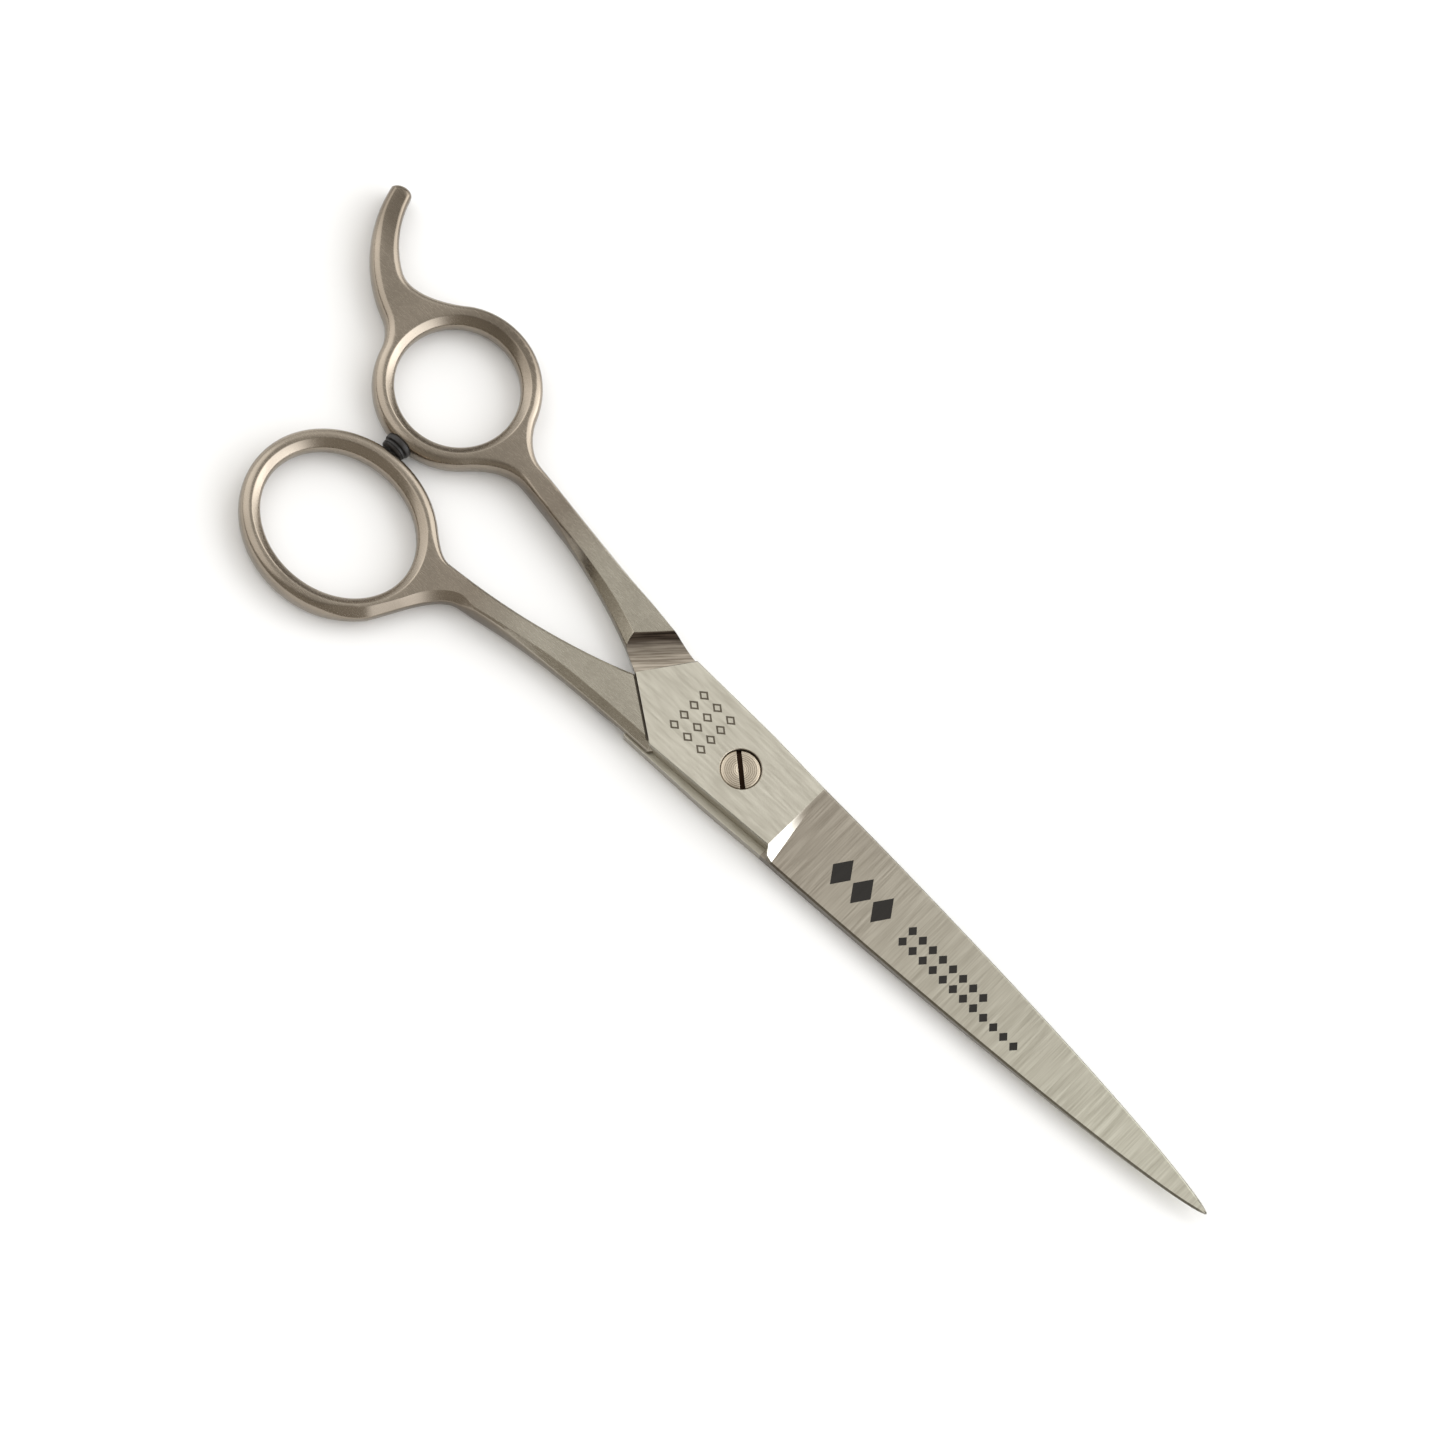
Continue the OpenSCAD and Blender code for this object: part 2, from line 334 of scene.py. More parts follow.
def blade_steel():
    """Stainless ground across the blade on a wheel: short lines from spine to edge, with painted
    shade that darkens it towards the heel, a painted highlight on the steep facet and a printed
    black ornament. The lines are really 0.1 mm apart and are drawn at 0.25 mm."""
    material, tree, shader, lines = steel("cross_ground_stainless", 0.34, (4, 0.11, 0.5), 0.002)
    x, y, z = add_node(tree, "ShaderNodeSeparateXYZ", None, {0: coords_in_mm(tree)}).outputs
    # painted shade: darker near the heel, paler towards the tip
    heel_to_tip = remap(tree, x, PLUNGE_X, 80)
    dark = blended(tree, heel_to_tip, linear("A9A093"), linear("D3D0C0"))
    pale = blended(tree, heel_to_tip, linear("BBB3A6"), linear("E6E4D5"))
    ground = blended(tree, remap(tree, lines, 0.3, 0.7), dark, pale)
    # painted highlight on the steep facet, which faces the tip
    ground = blended(tree, remap(tree, facing(tree, "X"), 0.3, 0.6), ground, linear("EDEAE0"))
    # painted shade on the walls and chamfers
    ground = with_painted_shade_on_sides(tree, ground, 0.7)

    def lozenges(start, end, pitch, half_l, half_h, beside):
        """A row of lozenges from start to end, where beside is the distance from the row."""
        along = maths(tree, "PINGPONG", maths(tree, "SUBTRACT", x, start), pitch / 2)
        size = maths(tree, "ADD", maths(tree, "DIVIDE", along, half_l),
                     maths(tree, "DIVIDE", beside, half_h))
        inside = maths(tree, "MULTIPLY", maths(tree, "GREATER_THAN", x, start - pitch / 2),
                       maths(tree, "LESS_THAN", x, end))
        return maths(tree, "MULTIPLY", maths(tree, "LESS_THAN", size, 1), inside)

    # three large lozenges in a row, then two rows of small ones, the outer row the longer
    from_large_row = maths(tree, "ABSOLUTE", maths(tree, "ADD", y, 0.6))
    large = lozenges(start=22.8, end=33.8, pitch=4.4, half_l=1.9, half_h=2.7, beside=from_large_row)
    from_middle = maths(tree, "ADD", y, 0.8)
    to_small_row = maths(tree, "SUBTRACT", maths(tree, "ABSOLUTE", from_middle), 1.15)
    longer = maths(tree, "MULTIPLY", maths(tree, "LESS_THAN", from_middle, 0), 8.8)
    small = lozenges(start=37.4, end=maths(tree, "ADD", longer, 53.9), pitch=2.2, half_l=0.85,
                     half_h=0.95, beside=maths(tree, "ABSOLUTE", to_small_row))
    printed = maths(tree, "MULTIPLY", maths(tree, "MAXIMUM", large, small),
                    maths(tree, "GREATER_THAN", z, 2.8))
    tree.links.new(blended(tree, printed, ground, linear("16130F")), shader.inputs["Base Color"])
    tree.links.new(maths(tree, "SUBTRACT", 1, printed), shader.inputs["Metallic"])
    return material


def half_w(x):
    """Half the blade's width: nearly straight, then rounding in to the tip."""
    return SPINE_W * (1 - (max(x, 0) / BLADE_L) ** 1.3) ** 0.62


def face_height(x, y):
    """Height of the outer face over the leaf's inner face."""
    ground = EDGE_T + FACE_SLOPE * (y + half_w(x))
    return min(LEAF_T, max(ground, LEAF_T - max(0, x - PLUNGE_X)))


def leaf_corners():
    """Corners in order, as (x, y, shift of the outer face's corner in x, in y)."""
    count = 26
    xs = [HEEL_X + (BLADE_L - HEEL_X) * math.sin(math.pi / 2 * i / count) for i in range(count)]
    corners = []
    for x in xs:
        corners.append((x, -half_w(x), 0, min(EDGE_BEVEL, 0.4 * half_w(x))))
    corners.append((BLADE_L, 0, -TIP_SETBACK, 0))
    for x in reversed(xs):
        corners.append((x, half_w(x), 0, -min(SPINE_CHAMFER, 0.4 * half_w(x))))
    corners.append((PLUNGE_X, half_w(PLUNGE_X), 0, -SPINE_CHAMFER))
    corners.append((0, FLAT_SPINE_W, 0, -SPINE_CHAMFER))
    corners.append((*BACK_CORNER, 0.1, -SPINE_CHAMFER))
    corners.append((*CROTCH, CREASE_SLOPE * 0.6, CREASE_SLOPE * 0.4))
    corners.append((*CREASE, CREASE_SLOPE * 0.5, CREASE_SLOPE * 0.3))
    corners.append((PLUNGE_X, FLAT_EDGE_Y, 0, 0.12))
    return corners


def solid_from_outline(name, points, z):
    """A closed outline as one flat face, left in edit mode with the face selected."""
    deselect()
    bpy.ops.mesh.primitive_circle_add(vertices=len(points), fill_type="NGON")
    obj = bpy.context.object
    obj.name = name
    for vertex, (x, y) in zip(obj.data.vertices, points):
        vertex.co = (x * MM, y * MM, z * MM)
    bpy.ops.object.mode_set(mode="EDIT")
    bpy.ops.mesh.select_all(action="SELECT")
    return obj


def raise_face(height):
    bpy.ops.mesh.extrude_region_move(TRANSFORM_OT_translate={"value": (0, 0, height * MM)})


def close_mesh():
    """Turns all normals outwards and leaves edit mode."""
    bpy.ops.mesh.select_all(action="SELECT")
    bpy.ops.mesh.normals_make_consistent(inside=False)
    bpy.ops.object.mode_set(mode="OBJECT")


def ease(obj, width, wanted):
    """Rounds the edges that wanted says yes to."""
    mesh = bmesh.new()
    mesh.from_mesh(obj.data)
    weight = mesh.edges.layers.float.new("bevel_weight_edge")
    for edge in mesh.edges:
        edge[weight] = int(wanted(edge))
    mesh.to_mesh(obj.data)
    mesh.free()
    pick(obj)
    bevel = obj.modifiers.new("eased_edges", "BEVEL")
    bevel.width = width * MM
    bevel.segments = 2
    bevel.limit_method = "WEIGHT"
    bevel.use_clamp_overlap = False
    bpy.ops.object.modifier_apply(modifier=bevel.name)
    obj.data.attributes.remove(obj.data.attributes["bevel_weight_edge"])


def leaf_edge_to_ease(edge):
    """The spine's edges and the flat's, but not the crease, the cutting edge and the tip."""
    x, y, _ = (edge.verts[0].co + edge.verts[1].co) / (2 * MM)
    on_crease = x < CREASE[0] and y < CROTCH[1]
    on_cutting_edge = x > PLUNGE_X and y < 0
    kept_sharp = on_crease or on_cutting_edge or x > BLADE_L - 3
    return not kept_sharp and edge.calc_face_angle() > math.radians(38)


flat_finish = flat_steel()
blade_finish = blade_steel()


def leaf(name):
    """The leaf with its outer face up and its inner face on z = 0."""
    corners = leaf_corners()
    obj = solid_from_outline(name, [(x, y) for x, y, _, _ in corners], 0)
    shoulder_z = LEAF_T - 0.5
    raise_face(shoulder_z)
    raise_face(LEAF_T - shoulder_z)
    bpy.ops.object.mode_set(mode="OBJECT")
    shift = {(round(x, 3), round(y, 3)): (dx, dy) for x, y, dx, dy in corners}
    for vertex in obj.data.vertices:
        if vertex.co.z > (LEAF_T - 0.01) * MM:
            dx, dy = shift[(round(vertex.co.x / MM, 3), round(vertex.co.y / MM, 3))]
            vertex.co.x += dx * MM
            vertex.co.y += dy * MM
    bpy.ops.object.mode_set(mode="EDIT")
    bpy.ops.mesh.select_all(action="SELECT")
    bpy.ops.mesh.bisect(plane_co=(PLUNGE_X * MM, 0, 0), plane_no=(1, 0, 0))
    bpy.ops.mesh.select_all(action="SELECT")
    facet_foot = PLUNGE_X + LEAF_T - EDGE_T - FACE_SLOPE * half_w(HEEL_X)
    bpy.ops.mesh.bisect(plane_co=(facet_foot * MM, 0, 0), plane_no=(1, FACE_SLOPE, 0))
    bpy.ops.object.mode_set(mode="OBJECT")
    for vertex in obj.data.vertices:
        x, y, z = vertex.co / MM
        if z < 0.01:
            continue
        top = face_height(x, y)
        if z > LEAF_T - 0.01:
            vertex.co.z = top * MM
        else:
            on_blade = x > PLUNGE_X + 0.01
            if y > 0 and x > BACK_CORNER[0] - 1:
                drop = SPINE_DROP
                vertex.co.y -= min(SPINE_DRAFT, 0.2 * half_w(x)) * MM
            else:
                beside_flat = FLAT_EDGE_DROP if x > CREASE[0] + 1 else CREASE_DROP
                drop = top - EDGE_WALL if on_blade else beside_flat
            vertex.co.z = max(EDGE_WALL, top - drop) * MM
    bpy.ops.object.mode_set(mode="EDIT")
    close_mesh()
    obj.data.materials.append(flat_finish)
    obj.data.materials.append(blade_finish)
    for face in obj.data.polygons:
        face.material_index = int(face.center.x > PLUNGE_X * MM)
    ease(obj, FINE_EASE, leaf_edge_to_ease)
    return obj


# ---------------------------------------------------------------- one half's handle
# Shank, ring and webs, forged flat in one with the leaf. The top and underside are flat and
# all edges are rounded over, broadly on the rings, where fingers bear, and less on the shank.
HANDLE_HALF_T = 2.3


def bezier(p0, p1, p2, p3, count=14):
    """Points along a cubic curve, without its last one."""
    points = []
    for i in range(count):
        t = i / count
        a, b, c, d = (1 - t) ** 3, 3 * (1 - t) ** 2 * t, 3 * (1 - t) * t * t, t ** 3
        points.append((a * p0[0] + b * p1[0] + c * p2[0] + d * p3[0],
                       a * p0[1] + b * p1[1] + c * p2[1] + d * p3[1]))
    return points


def oval(centre, a, b, start, end, count=60):
    """Points along an ellipse between two angles in degrees, without its last one."""
    points = []
    for i in range(count):
        t = math.radians(start + (end - start) * i / count)
        points.append((centre[0] + a * math.cos(t), centre[1] + b * math.sin(t)))
    return points


def area_of(points):
    total = 0
    for (x0, y0), (x1, y1) in zip(points, points[1:] + points[:1]):
        total += x0 * y1 - x1 * y0
    return total / 2


def inward(points, into_solid):
    """Unit vectors across the outline at each point, into the solid."""
    sign = (1 if area_of(points) > 0 else -1) * into_solid
    vectors = []
    for i in range(len(points)):
        (x0, y0), (x1, y1) = points[i - 1], points[(i + 1) % len(points)]
        length = math.hypot(x1 - x0, y1 - y0)
        vectors.append((-(y1 - y0) / length * sign, (x1 - x0) / length * sign))
    return vectors


def handle_steel():
    """Forged stainless, tumbled and buffed to a satin: brownish grey, paler by the pivot, with
    painted shade on the walls, strongest along the shank, the rest darker all over, and a fine
    grain along the shears. The grain is really 0.1 mm and is drawn at 0.14 mm."""
    material, tree, shader, grain = steel("satin_buffed_stainless", 0.24, (1.2, 7, 7), 0.0001)
    x, y, _ = add_node(tree, "ShaderNodeSeparateXYZ", None, {0: coords_in_mm(tree)}).outputs
    to_pivot = remap(tree, x, -50, -38)
    dark = blended(tree, to_pivot, linear("978D80"), linear("B2AC9E"))
    pale = blended(tree, to_pivot, linear("A79C8E"), linear("C4BEB0"))
    cloudy = add_node(tree, "ShaderNodeTexNoise", None,
                      {"Vector": coords_in_mm(tree), "Scale": 0.12, "Detail": 2}).outputs["Fac"]
    tone = maths(tree, "ADD", maths(tree, "MULTIPLY", grain, 0.15),
                 maths(tree, "MULTIPLY", cloudy, 0.85))
    buffed = blended(tree, remap(tree, tone, 0.3, 0.7), dark, pale)
    # painted shade on the walls, strongest along the shank, and the rest darker all over
    on_shank = remap(tree, x, -63, -55, 0.15, 0.75)
    on_rest = remap(tree, y, 22, 27, 0, 0.55)
    wall_shade_and_dark_rest = maths(tree, "MAXIMUM", maths(tree, "MULTIPLY", upright(tree), on_shank), on_rest)
    tree.links.new(blended(tree, wall_shade_and_dark_rest, buffed, linear("5A5044")), shader.inputs["Base Color"])
    return material


handle_finish = handle_steel()

# How far in and how high each step of an edge lies, from the middle plane up: rolled over, and
# with a flat facet
ROLLED = [(0, 0), (0.03, 0.7), (0.12, 1.25), (0.32, 1.68), (0.62, 1.99), (1, 2.19), (1.45, 2.3)]
FACETED = [(0, 0), (0, 0.3), (0.02, 0.6), (0.06, 0.8), (0.16, 0.95), (1.4, 2.26), (1.45, 2.3)]


def plate(name, outside, hole, edge_outside, edge_hole):
    """A flat plate with a hole. Each edge function gives the edge's breadth, as a share of the
    forms above, and its share of the faceted form, at a point of the outline."""
    deselect()
    bpy.ops.mesh.primitive_circle_add(vertices=3, fill_type="NOTHING")
    obj = bpy.context.object
    obj.name = name
    mesh = bmesh.new()
    crests = []
    for points, into, edge in ((outside, 1, edge_outside), (hole, -1, edge_hole)):
        normals = inward(points, into)
        rows = []
        for rolled, faceted in zip(ROLLED, FACETED):
            row = []
            for (x, y), (nx, ny) in zip(points, normals):
                breadth, facet = edge(x, y)
                move = (rolled[0] * (1 - facet) + faceted[0] * facet) * breadth
                height = rolled[1] * (1 - facet) + faceted[1] * facet
                place = ((x + nx * move) * MM, (y + ny * move) * MM, height * MM)
                row.append(mesh.verts.new(place))
            rows.append(row)
        for lower, upper in zip(rows, rows[1:]):
            for i in range(len(lower)):
                j = (i + 1) % len(lower)
                mesh.faces.new((lower[i], lower[j], upper[j], upper[i]))
        crest = rows[-1]
        for i in range(len(crest)):
            crests.append(mesh.edges.get((crest[i], crest[(i + 1) % len(crest)])))
    bmesh.ops.triangle_fill(mesh, use_beauty=True, edges=crests)
    mesh.to_mesh(obj.data)
    mesh.free()
    mirror = obj.modifiers.new("underside", "MIRROR")
    mirror.use_axis = (False, False, True)
    mirror.merge_threshold = 0.001 * MM
    bpy.ops.object.modifier_apply(modifier=mirror.name)
    bpy.ops.object.mode_set(mode="EDIT")
    close_mesh()
    obj.data.materials.append(handle_finish)
    return obj


def smoothstep(x, low, high):
    t = max(0, min(1, (x - low) / (high - low)))
    return t * t * (3 - 2 * t)


def shift_mesh(obj, z):
    obj.data.transform(Matrix.Translation((0, 0, z * MM)))


def boolean(obj, cutter, operation):
    """Joins or cuts with another piece, whose faces bring their material, and removes it."""
    pick(obj)
    modifier = obj.modifiers.new("cut", "BOOLEAN")
    modifier.operation = operation
    modifier.solver = "EXACT"
    modifier.material_mode = "TRANSFER"
    modifier.object = cutter
    bpy.ops.object.modifier_apply(modifier=modifier.name)
    bpy.data.objects.remove(cutter, do_unlink=True)


# ---------------------------------------------------------------- shoulder ramp
# The hollow rise where each shank steps up beside the other half's back edge, cut with a wheel
# and left brushed. It gives the closed blades room to pass the shank.
RAMP_FOOT = (-24.8, 0)
RAMP_TURN = math.radians(48)
RAMP_R = 6.5
RAMP_LIP = 0.15                            # rounding of the ramp's top edge


def ramp_steel(name, turn):
    """Stainless left from a grinding wheel: dull brown-grey with bold streaks along the hollow, and
    painted shade that darkens it towards its top. The streaks are 0.4 mm apart."""
    material, tree, shader, streaks = steel(name, 0.42, (0.12, 2.4, 2.4), 0.008, turn)
    z = add_node(tree, "ShaderNodeSeparateXYZ", None, {0: coords_in_mm(tree)}).outputs["Z"]
    rise = maths(tree, "ABSOLUTE", maths(tree, "SUBTRACT", z, MID_Z))
    # painted shade, deeper towards the ramp's top
    shade_towards_top = remap(tree, rise, 0.2, 1.4)
    dark = blended(tree, shade_towards_top, linear("978D80"), linear("332B24"))
    pale = blended(tree, shade_towards_top, linear("C6BCAE"), linear("5A4F45"))
    tree.links.new(blended(tree, remap(tree, streaks, 0.38, 0.62), dark, pale),
                   shader.inputs["Base Color"])
    return material


def crease_shade_steel():
    """Stainless in the groove's corner, where no wheel reaches: painted dark as the shade in the
    groove, in grains 0.2 mm across."""
    material, tree, shader, grains = steel("crease_shade_stainless", 0.6, (5, 5, 5), 0.01)
    # painted shade in the groove
    tree.links.new(blended(tree, grains, linear("544E46"), linear("777065")),
                   shader.inputs["Base Color"])
    return material


# by side: 1 for the finger half's ramp, which faces up, and -1 for the thumb half's, on the
# underside
ramp_finish = {1: ramp_steel("wheel_cut_stainless", RAMP_TURN),
               -1: ramp_steel("wheel_cut_stainless_below", -RAMP_TURN)}
crease_shade_finish = crease_shade_steel()


def ramp_cutter(side):
    """All above the parting plane on the blade's side of the shoulder, with a hollow rise."""
    sweep = [(-60, 0), (-60, 20), (RAMP_R, 20)]
    for i in range(17):
        angle = math.pi / 2 * i / 16
        sweep.append((RAMP_R * math.cos(angle), RAMP_R * (1 - math.sin(angle))))
    obj = solid_from_outline("ramp_cutter", sweep, -40)
    raise_face(80)
    close_mesh()
    across = Vector((-math.sin(RAMP_TURN), math.cos(RAMP_TURN), 0))
    along = Vector((math.cos(RAMP_TURN), math.sin(RAMP_TURN), 0))
    axes = Matrix((across, (0, 0, 1), along)).transposed().to_4x4()
    foot = Vector((RAMP_FOOT[0], RAMP_FOOT[1], MID_Z - PARTING)) * MM
    obj.data.transform(Matrix.Translation(foot) @ axes)
    obj.data.materials.append(ramp_finish[side])
    return obj


def crease_groove():
    """Cutter for the groove that the flat's grinding leaves along the shank. It reaches under
    the leaf, whose wall becomes the groove's other side."""
    crotch, crease = Vector(CROTCH), Vector(CREASE)
    along = (crease - crotch).normalized()
    outwards = Vector((along.y, -along.x))
    corners = []
    for end in (crotch - along, crease + 0.8 * along):
        corners += [end - outwards, end + GROOVE_W * outwards]
    corners = [corners[0], corners[2], corners[3], corners[1]]
    obj = solid_from_outline("groove_cutter", corners, MID_Z + HANDLE_HALF_T - GROOVE_T)
    raise_face(2)
    close_mesh()
    obj.data.materials.append(crease_shade_finish)
    return obj


def turned_over(obj):
    """Turns a mesh half a turn about the X axis of the middle plane."""
    middle = Matrix.Translation((0, 0, MID_Z * MM))
    obj.data.transform(middle @ Matrix.Rotation(math.pi, 4, "X") @ middle.inverted())


# ---------------------------------------------------------------- thumb half
# The upper half: leaf, shank and the oval thumb ring, one stainless forging. It is bored for the
# screw's plain shoulder and recessed for its head.
THUMB_RING = (-73, -15.6)
thumb_outline = (
    bezier((-12.6, -8.0), (-25, -8.2), (-40, -9), (-50.5, -11.9), 24)
    + bezier((-50.5, -11.9), (-53.9, -12.8), (-56.6, -19.6), (-58.9, -23.7), 18)
    + oval(THUMB_RING, 16.8, 14.8, -33, -312, 110)
    + bezier((-61.76, -4.6), (-59.8, -6.2), (-57.8, -8.1), (-56, -8), 12)
    + bezier((-56, -8), (-42, -7), (-29, -2.9), CROTCH, 24)
    + [CROTCH, (-15, CROTCH[1]), (-9, -4.5)]
)
thumb_hole = oval(THUMB_RING, 13.4, 11.3, 0, 360, 110)


def thumb_edge(x, y):
    """Slim on the shank, with a facet along its lower side and one on the ring's web."""
    shank = smoothstep(x, -62, -52)
    lower = smoothstep(x, -48, -30) if y < -5.8 + 0.2 * (x + 30) else 0
    web = smoothstep(x, -66, -60) * (1 - smoothstep(x, -50.5, -48)) if y < -11 else 0
    broad = web * (0.15 + 0.35 * smoothstep(x, -57, -54))
    return 0.95 - 0.5 * shank + 0.45 * lower + broad, max(0.9 * lower, web)


def hole_edge(x, y):
    """The same all round: broad, and half faceted."""
    return 1.1, 0.55


def turned(name, profile, material, steps=64):
    """A closed profile of (radius, height) in mm, spun once round the Z axis."""
    deselect()
    bpy.ops.mesh.primitive_circle_add(vertices=len(profile), fill_type="NOTHING")
    obj = bpy.context.object
    obj.name = name
    for vertex, (r, z) in zip(obj.data.vertices, profile):
        vertex.co = (r * MM, 0, z * MM)
    bpy.ops.object.mode_set(mode="EDIT")
    bpy.ops.mesh.select_all(action="SELECT")
    bpy.ops.mesh.spin(steps=steps, angle=2 * math.pi, center=(0, 0, 0), axis=(0, 0, 1))
    bpy.ops.mesh.select_all(action="SELECT")
    bpy.ops.mesh.remove_doubles(threshold=0.001 * MM)
    bpy.ops.mesh.delete_loose()
    close_mesh()
    obj.data.materials.append(material)
    return obj


def bore_steel():
    """Stainless turned on a lathe: rings 0.3 mm apart, with painted shade that darkens it for lying
    deep in the steel.
    """
    material, tree, shader, rings = steel("turned_stainless", 0.35, (0.3, 0.3, 3), 0.006)
    tree.links.new(blended(tree, rings, linear("8F8678"), linear("B0A798")),
                   shader.inputs["Base Color"])
    return material


bore_finish = bore_steel()
_, screw_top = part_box("pivot_screw")
HEAD_TOP = screw_top[2] / MM
HEAD_R = 3.25
HEAD_T = 0.95
SHOULDER_R = 2.5
THREAD_R = 2.0
RECESS_R = HEAD_R + 0.09
TOP_Z = 2 * MID_Z

thumb_half = plate("thumb_half_steel", thumb_outline, thumb_hole, thumb_edge, hole_edge)
shift_mesh(thumb_half, MID_Z)
thumb_leaf = leaf("thumb_leaf")
shift_mesh(thumb_leaf, MID_Z + PARTING)
cutter = ramp_cutter(-1)
turned_over(cutter)
boolean(thumb_half, cutter, "DIFFERENCE")
boolean(thumb_half, crease_groove(), "DIFFERENCE")
boolean(thumb_half, thumb_leaf, "UNION")
boolean(thumb_half, turned("thumb_bore", [
    (0, 1), (SHOULDER_R + 0.05, 1), (SHOULDER_R + 0.05, HEAD_TOP - HEAD_T),
    (RECESS_R, HEAD_TOP - HEAD_T), (RECESS_R, TOP_Z - 0.12), (RECESS_R + 0.2, TOP_Z + 0.08),
    (RECESS_R + 0.2, 6), (0, 6)], bore_finish), "DIFFERENCE")

# ---------------------------------------------------------------- finger half
# The lower half: leaf, shank, round finger ring and the curved rest for the little finger, one
# forging, tapped for the screw and let in under the ring for the bumper's foot.
FINGER_RING = (-75.5, 14.6)
REST_IN, REST_IN_R = (-85.4, 37.1), 17.6
REST_OUT, REST_OUT_R = (-82.8, 36.5), 23.7
finger_outline = (
    bezier((-12.6, 7.95), (-26, 9.9), (-42, 11.8), (-57, 14.25), 24)
    + bezier((-57, 14.25), (-59.6, 14.7), (-61.9, 17.3), (-62.9, 19.7), 12)
    + oval(FINGER_RING, 13.6, 13.6, 22, 125, 40)
    + bezier((-83.3, 25.74), (-86.6, 23), (-91.6, 20.4), (-94.5, 22.05), 14)
    + oval(REST_IN, REST_IN_R, REST_IN_R, 238.8, 197, 24)
    + bezier((-102.23, 31.95), (-102.6, 33.4), (-105.5, 33), (-105.94, 31.37), 10)
    + oval(REST_OUT, REST_OUT_R, REST_OUT_R, 192.5, 247, 30)
    + bezier((-92.06, 14.68), (-90.4, 13.98), (-89, 12.3), (-88.5, 10.6), 10)
    + oval(FINGER_RING, 13.6, 13.6, 197, 318, 44)
    + bezier((-65.4, 5.5), (-63.3, 7.9), (-60.4, 10.44), (-57, 10.1), 14)
    + bezier((-57, 10.1), (-42, 8.6), (-29, 3.6), (CROTCH[0], -CROTCH[1]), 24)
    + [(CROTCH[0], -CROTCH[1]), (-15, -CROTCH[1]), (-9, 4.5)]
)
finger_hole = oval(FINGER_RING, 10.1, 10.1, 0, 360, 90)


def finger_edge(x, y):
    """Slim on the shank, with a facet that grows along its inner side, and slimmer on the rest."""
    shank = smoothstep(x, -62, -52)
    inner = smoothstep(x, -50, -28) if y < 10.7 - 0.25 * (x + 46) else 0
    by_ramp = smoothstep(x, -36, -28) if inner == 0 else 0
    rest = smoothstep(y, 22, 28)
    breadth = 0.95 - 0.55 * shank + 0.8 * inner - 0.28 * by_ramp - 0.3 * rest
    return breadth, smoothstep(inner, 0, 0.15)


bumper_low, bumper_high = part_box("bumper")
BUMPER_X = (bumper_low[0] + bumper_high[0]) / 2 / MM
BUMPER_FOOT_Y = bumper_high[1] / MM


def towards_thumb(obj):
    """Turns a piece spun round Z so that it points from the finger ring to the thumb ring."""
    place = Vector((BUMPER_X, BUMPER_FOOT_Y, MID_Z)) * MM
    obj.data.transform(Matrix.Translation(place) @ Matrix.Rotation(math.pi / 2, 4, "X"))
    return obj


finger_half = plate("finger_half_steel", finger_outline, finger_hole, finger_edge, hole_edge)
shift_mesh(finger_half, MID_Z)
finger_leaf = leaf("finger_leaf")
shift_mesh(finger_leaf, MID_Z + PARTING)
turned_over(finger_leaf)
boolean(finger_half, ramp_cutter(1), "DIFFERENCE")
cutter = crease_groove()
turned_over(cutter)
boolean(finger_half, cutter, "DIFFERENCE")
boolean(finger_half, finger_leaf, "UNION")
boolean(finger_half, turned("finger_bore", [
    (0, -1), (THREAD_R + 0.25, -1), (THREAD_R + 0.25, 0), (THREAD_R + 0.05, 0.2),
    (THREAD_R + 0.05, 3), (0, 3)], bore_finish), "DIFFERENCE")
boolean(finger_half, towards_thumb(turned("bumper_pocket", [
    (0, 0), (2.4, 0), (2.4, 3), (0, 3)], bore_finish)), "DIFFERENCE")


def at_ramp_top(edge, half, side):
    """Whether an edge lies between the ramp and the handle's flat on the ramp's side."""
    flat_z = MID_Z + side * HANDLE_HALF_T
    on_flat = all(abs(vertex.co.z / MM - flat_z) < 0.01 for vertex in edge.verts)
    finishes = {half.data.materials[face.material_index] for face in edge.link_faces}
    return on_flat and finishes == {ramp_finish[side], handle_finish}


for half, node, side in ((thumb_half, "thumb_half", -1), (finger_half, "finger_half", 1)):
    ease(half, RAMP_LIP, lambda edge: at_ramp_top(edge, half, side))
    pick(half)
    bpy.ops.object.shade_smooth_by_angle(angle=math.radians(28))
    level = half.modifiers.new("level_faces", "WEIGHTED_NORMAL")
    level.keep_sharp = True
    bpy.ops.object.modifier_apply(modifier=level.name)
    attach(half, node)
    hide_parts(node)

# ---------------------------------------------------------------- pivot screw
# A slotted screw turned from steel: a low head in the thumb half's recess, a plain shoulder that
# the half turns on, and a threaded end in the finger half, flush with its underside.
SLOT_W = 0.85
SLOT_T = 0.5
SLOT_TURN = math.radians(-41)
THREAD_PITCH = 0.5
ROOT_R, CREST_R = THREAD_R - 0.3, THREAD_R - 0.02


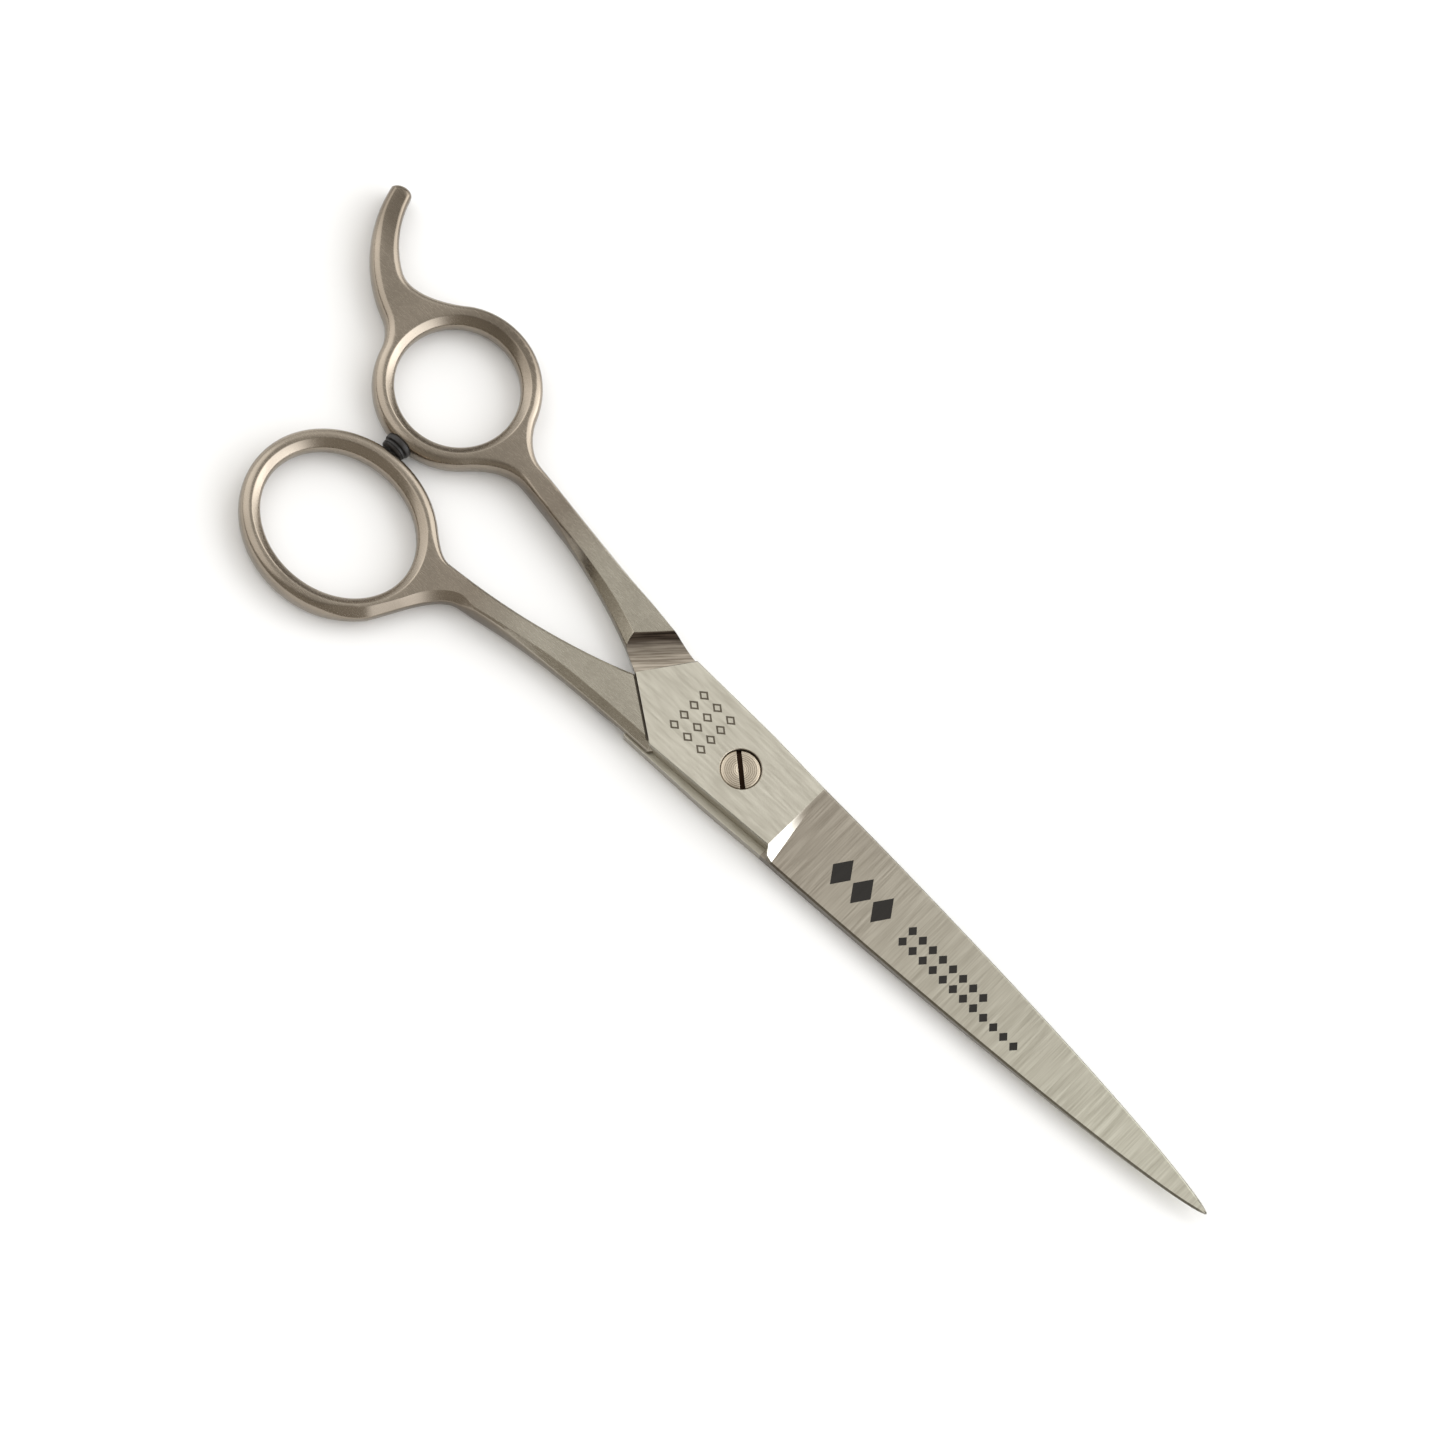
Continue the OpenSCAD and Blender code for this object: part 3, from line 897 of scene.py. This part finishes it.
def screw_steel():
    """Plain steel, turned and lightly bronzed by its tempering: warm grey with rings 0.3 mm
    apart from the lathe tool, and dark in the slot."""
    material, tree, shader = new_material("tempered_turned_steel")
    shader.inputs["Metallic"].default_value = 1
    mm = coords_in_mm(tree)
    rings = add_node(tree, "ShaderNodeTexWave", {"wave_type": "RINGS", "rings_direction": "Z"},
                     {"Vector": mm, "Scale": 1, "Distortion": 0.6, "Detail": 1}).outputs["Fac"]
    warm = blended(tree, rings, linear("AEA290"), linear("CDC2B1"))
    depth = add_node(tree, "ShaderNodeSeparateXYZ", None, {0: mm}).outputs["Z"]
    in_slot = remap(tree, depth, HEAD_TOP - SLOT_T + 0.02, HEAD_TOP - 0.12)
    tree.links.new(blended(tree, in_slot, linear("2A1E16"), warm), shader.inputs["Base Color"])
    bump = add_node(tree, "ShaderNodeBump", None,
                    {"Height": rings, "Strength": 0.6, "Distance": 0.01 * MM})
    tree.links.new(bump.outputs["Normal"], shader.inputs["Normal"])
    tree.links.new(remap(tree, rings, 0, 1, 0.26, 0.38), shader.inputs["Roughness"])
    return material


# the thread is drawn as rings, not as a helix
screw_profile = [(0, 0), (ROOT_R, 0)]
for i in range(4):
    screw_profile.append((ROOT_R, THREAD_PITCH * (i + 0.25)))
    screw_profile.append((CREST_R, THREAD_PITCH * (i + 0.5)))
    screw_profile.append((CREST_R, THREAD_PITCH * (i + 0.62)))
    screw_profile.append((ROOT_R, THREAD_PITCH * (i + 0.87)))
screw_profile += [
    (ROOT_R, MID_Z - 0.01), (SHOULDER_R - 0.1, MID_Z - 0.01), (SHOULDER_R, MID_Z + 0.1),
    (SHOULDER_R, HEAD_TOP - HEAD_T), (HEAD_R - 0.08, HEAD_TOP - HEAD_T),
    (HEAD_R, HEAD_TOP - HEAD_T + 0.08), (HEAD_R, HEAD_TOP - 0.28), (HEAD_R - 0.07, HEAD_TOP - 0.15),
    (HEAD_R - 0.25, HEAD_TOP - 0.07), (HEAD_R - 0.7, HEAD_TOP - 0.03), (HEAD_R - 1.6, HEAD_TOP),
    (0, HEAD_TOP)]
screw_finish = screw_steel()
screw = turned("slotted_pivot_screw", screw_profile, screw_finish, 96)
c, s = math.cos(SLOT_TURN), math.sin(SLOT_TURN)
slot_corners = [(x * c - y * s, x * s + y * c) for x, y in
                ((-5, -SLOT_W / 2), (5, -SLOT_W / 2), (5, SLOT_W / 2), (-5, SLOT_W / 2))]
slot = solid_from_outline("slot_cutter", slot_corners, HEAD_TOP - SLOT_T)
raise_face(2)
close_mesh()
slot.data.materials.append(screw_finish)
boolean(screw, slot, "DIFFERENCE")
bevel = screw.modifiers.new("eased_edges", "BEVEL")
bevel.width = 0.05 * MM
bevel.segments = 2
bevel.limit_method = "ANGLE"
bevel.angle_limit = math.radians(50)
bpy.ops.object.modifier_apply(modifier=bevel.name)
bpy.ops.object.shade_smooth_by_angle(angle=math.radians(30))
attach(screw, "pivot_screw")
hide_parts("pivot_screw")

# ---------------------------------------------------------------- bumper and its stud
# A black rubber buffer that stops the rings knocking together. Its flanged foot is let into the
# finger ring, held by a steel stud, and its ribbed nose points at the thumb ring.
bumper_l = (bumper_high[1] - bumper_low[1]) / MM


def black_rubber():
    """Moulded nitrile rubber: near black, dull, with a faint grain 0.2 mm across."""
    material, tree, shader = new_material("black_nitrile_rubber")
    grain = add_node(tree, "ShaderNodeTexNoise", None,
                     {"Vector": coords_in_mm(tree), "Scale": 5, "Detail": 4}).outputs["Fac"]
    tree.links.new(blended(tree, grain, linear("12100F"), linear("2A2725")),
                   shader.inputs["Base Color"])
    tree.links.new(remap(tree, grain, 0.3, 0.7, 0.38, 0.6), shader.inputs["Roughness"])
    bump = add_node(tree, "ShaderNodeBump", None,
                    {"Height": grain, "Strength": 0.7, "Distance": 0.02 * MM})
    tree.links.new(bump.outputs["Normal"], shader.inputs["Normal"])
    return material


bumper = towards_thumb(turned("ribbed_bumper", [
    (0.78, 0), (2.2, 0), (2.35, 0.12), (2.35, 0.72), (2.25, 0.86), (1.95, 0.9), (1.8, 1),
    (1.8, 1.1), (1.95, 1.2), (2.08, 1.25), (2.1, 1.35), (2.05, 1.5), (1.88, 1.54), (1.86, 1.6),
    (2.0, 1.66), (2.06, 1.74), (1.98, 1.9), (1.75, bumper_l), (0.9, bumper_l),
    (0.6, bumper_l - 0.12), (0, bumper_l - 0.15), (0, 1.1), (0.78, 1.1)], black_rubber()))
pick(bumper)
bpy.ops.object.shade_smooth_by_angle(angle=math.radians(45))
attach(bumper, "finger_half")
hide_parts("bumper")

stud = bpy.data.objects["bumper_stud"]
stud.data.materials.clear()
stud.data.materials.append(bore_finish)
